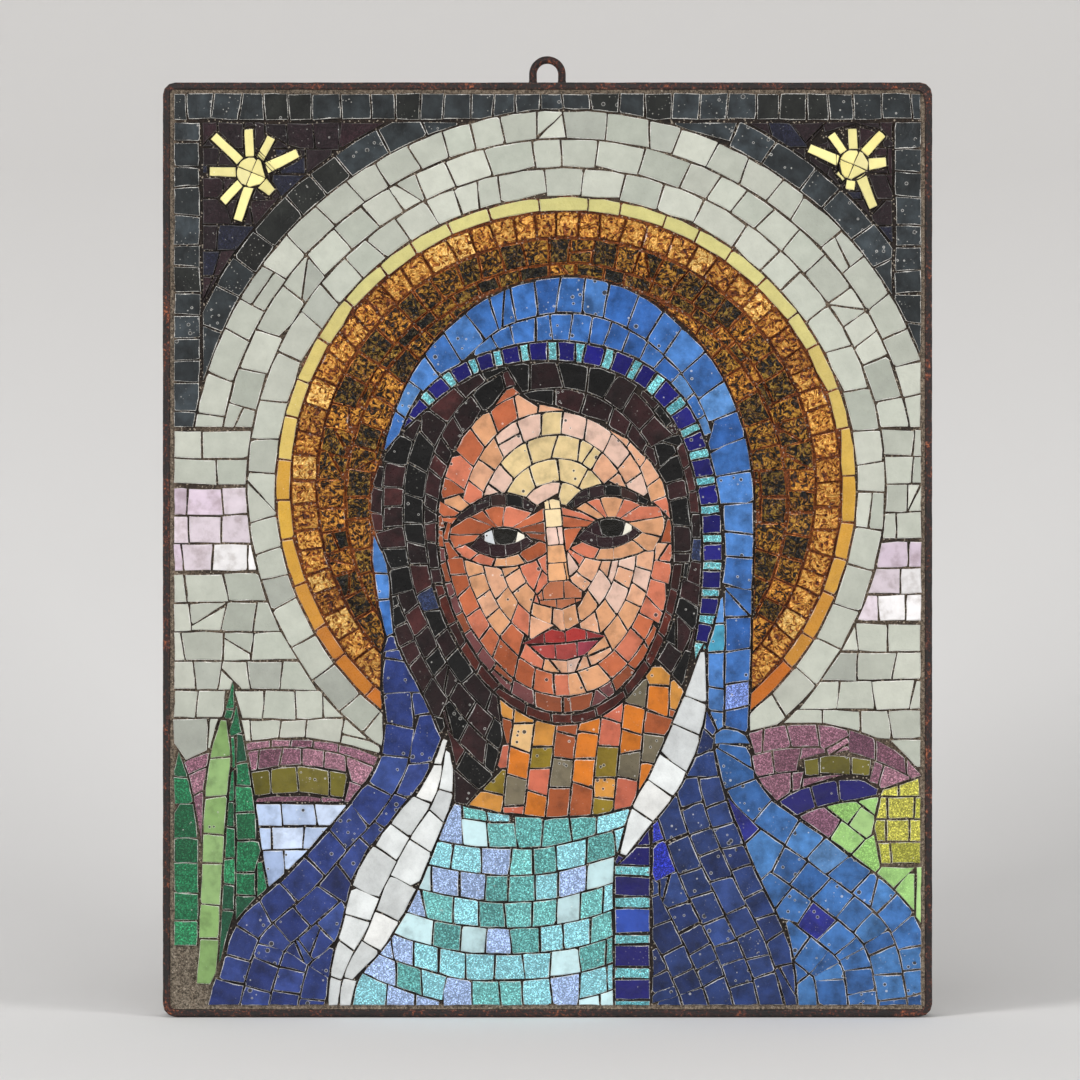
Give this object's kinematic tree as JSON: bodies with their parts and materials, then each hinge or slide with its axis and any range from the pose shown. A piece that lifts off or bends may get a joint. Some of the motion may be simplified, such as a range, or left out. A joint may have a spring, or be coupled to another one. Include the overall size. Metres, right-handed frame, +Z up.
{
  "type": "mosaic wall panel",
  "caption": "Rectangular glass mosaic of a veiled figure with a halo before hills, set in mortar inside a rusty iron strip frame with a wire loop to hang it by.",
  "frame": {"origin": "where the hanging loop's wire rests on its nail: inside the top of the loop, in the wall plane", "axes": "+X to the viewer's right, +Z up the panel, +Y into the wall, so the mosaic faces -Y"},
  "size_m": [0.308, 0.02, 0.3862],
  "materials": {
    "rusty_iron": "matte",
    "mortar": "matte",
    "black_glass": "gloss",
    "aubergine_glass": "satin",
    "skin_glass": "satin",
    "ridge_glass": "satin",
    "crimson_glass": "satin",
    "maroon_glass": "satin",
    "ochre_glass": "satin",
    "white_glass": "satin",
    "turquoise_glitter": "satin",
    "cobalt_glass": "gloss",
    "cornflower_glass": "satin",
    "indigo_glass": "satin",
    "navy_glass": "satin",
    "gold_leaf": "gloss",
    "dark_gold": "gloss",
    "rim_yellow": "satin",
    "green_glitter": "satin",
    "light_green": "satin",
    "purple_glitter": "satin",
    "olive_glass": "gloss",
    "yellow_glitter": "satin",
    "periwinkle_glass": "satin",
    "grey_green_glass": "satin",
    "lavender_glass": "satin",
    "slate_glass": "satin",
    "star_yellow": "satin"
  },
  "bodies": {
    "root": {"frame_strip": "rusty_iron", "hanging_loop": "rusty_iron", "mortar_slab": "mortar", "eye_left": "black_glass", "eye_right": "black_glass", "brow_left": "aubergine_glass", "brow_right": "aubergine_glass", "nose": "ridge_glass", "lip_upper": "crimson_glass", "lip_lower": "crimson_glass", "face": "skin_glass", "face_contour": "maroon_glass", "lining_left": "white_glass", "lining_right": "white_glass", "mantle_trim": "cobalt_glass", "dress": "turquoise_glitter", "neck": "ochre_glass", "hair": "aubergine_glass", "veil_trim": "cobalt_glass", "veil_fold": "cornflower_glass", "mantle_left": "indigo_glass", "mantle_right": "navy_glass", "veil": "cornflower_glass", "veil_side": "cornflower_glass", "halo_gold_inner_left": "dark_gold", "halo_gold_inner_right": "dark_gold", "halo_gold_middle": "dark_gold", "halo_gold_outer": "gold_leaf", "halo_rim": "rim_yellow", "cypress_light": "light_green", "cypress_tall": "green_glitter", "cypress_short": "green_glitter", "field_left": "olive_glass", "hill_between": "purple_glitter", "hill_left": "purple_glitter", "water_left": "periwinkle_glass", "river": "cobalt_glass", "field_right": "olive_glass", "meadow_gold": "yellow_glitter", "meadow": "light_green", "hill_right": "purple_glitter", "sky_course_inner": "grey_green_glass", "sky_course_middle": "grey_green_glass", "sky_course_outer": "grey_green_glass", "cloud_left": "lavender_glass", "cloud_right": "lavender_glass", "sky_rows_left_upper": "grey_green_glass", "sky_rows_left_lower": "grey_green_glass", "sky_rows_right_upper": "grey_green_glass", "sky_rows_right_lower": "grey_green_glass", "border_top": "slate_glass", "border_left": "slate_glass", "border_right": "slate_glass", "star_left": "star_yellow", "star_right": "star_yellow", "corner_course_left": "slate_glass", "corner_course_right": "slate_glass", "corner_field_left": "aubergine_glass", "corner_field_right": "aubergine_glass"}
  },
  "joints": []
}
